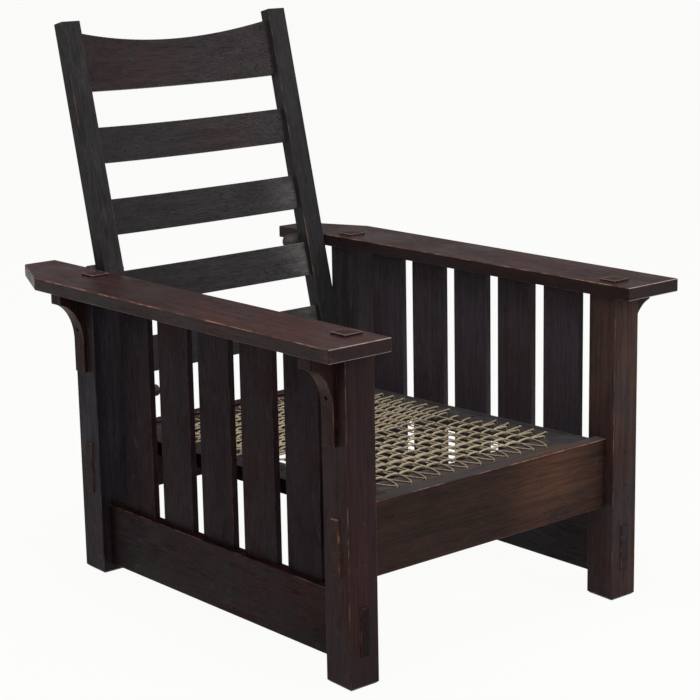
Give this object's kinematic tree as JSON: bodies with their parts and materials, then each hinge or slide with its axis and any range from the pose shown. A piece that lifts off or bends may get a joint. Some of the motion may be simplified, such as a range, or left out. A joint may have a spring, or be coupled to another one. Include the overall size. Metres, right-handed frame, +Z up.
{
  "type": "mission reclining armchair",
  "caption": "Dark oak armchair with slatted sides, broad flat arms on corbels, a woven cord drop-in seat and a hinged slatted back that leans on pegs.",
  "frame": {"origin": "on the floor, at the middle of the chair's outline", "axes": "+X to the sitter's left, so the pieces named right are the ones at a viewer's right who faces the chair; the front faces -Y; +Z up"},
  "size_m": [0.794, 0.9572, 0.9917],
  "materials": {
    "dark_oak": "dark fumed oak, waxed, satin, worn to warm brown along the edges",
    "seat_oak": "dark stained oak, duller and greyer than the frame",
    "turned_oak": "turned oak, satin, a little greyer than the frame",
    "seat_cord": "matte tan twisted cord",
    "screw_steel": "dulled, browned steel"
  },
  "bodies": {
    "frame": {"cleat_screws": "screw_steel", "corbel_screws": "screw_steel", "front_cleat": "seat_oak", "front_left_post": "dark_oak", "front_right_post": "dark_oak", "front_seat_rail": "dark_oak", "left_arm": "dark_oak", "left_front_corbel": "dark_oak", "left_pivot_pin": "turned_oak", "left_rear_corbel": "dark_oak", "left_side_rail": "dark_oak", "left_slat_1": "dark_oak", "left_slat_2": "dark_oak", "left_slat_3": "dark_oak", "left_slat_4": "dark_oak", "left_slat_5": "dark_oak", "pivot_spacers": "turned_oak", "rail_pins": "dark_oak", "rear_cleat": "seat_oak", "rear_left_post": "dark_oak", "rear_right_post": "dark_oak", "rear_seat_rail": "dark_oak", "right_arm": "dark_oak", "right_front_corbel": "dark_oak", "right_pivot_pin": "turned_oak", "right_rear_corbel": "dark_oak", "right_side_rail": "dark_oak", "right_slat_1": "dark_oak", "right_slat_2": "dark_oak", "right_slat_3": "dark_oak", "right_slat_4": "dark_oak", "right_slat_5": "dark_oak"},
    "back": {"right_stile": "dark_oak", "left_stile": "dark_oak", "top_back_rail": "dark_oak", "back_rail_2": "dark_oak", "back_rail_3": "dark_oak", "back_rail_4": "dark_oak", "back_rail_5": "dark_oak"},
    "seat": {"right_seat_member": "seat_oak", "left_seat_member": "seat_oak", "front_seat_member": "seat_oak", "rear_seat_member": "seat_oak", "seat_weave": "seat_cord"},
    "right_peg": {"right_support_peg": "turned_oak"},
    "left_peg": {"left_support_peg": "turned_oak"}
  },
  "joints": [
    {"name": "back_hinge", "type": "hinge", "parent": "frame", "child": "back", "pos_m": [0, 0.27486, 0.3185], "axis": [1, 0, 0], "range_deg": [0, 100]},
    {"name": "seat_lift", "type": "slide", "parent": "frame", "child": "seat", "axis": [0, 0, 1], "range_m": [0, 0.02]},
    {"name": "right_peg_pull", "type": "slide", "parent": "frame", "child": "right_peg", "axis": [-1, 0, 0], "range_m": [0, 0.0245]},
    {"name": "left_peg_pull", "type": "slide", "parent": "frame", "child": "left_peg", "axis": [1, 0, 0], "range_m": [0, 0.0245]}
  ]
}
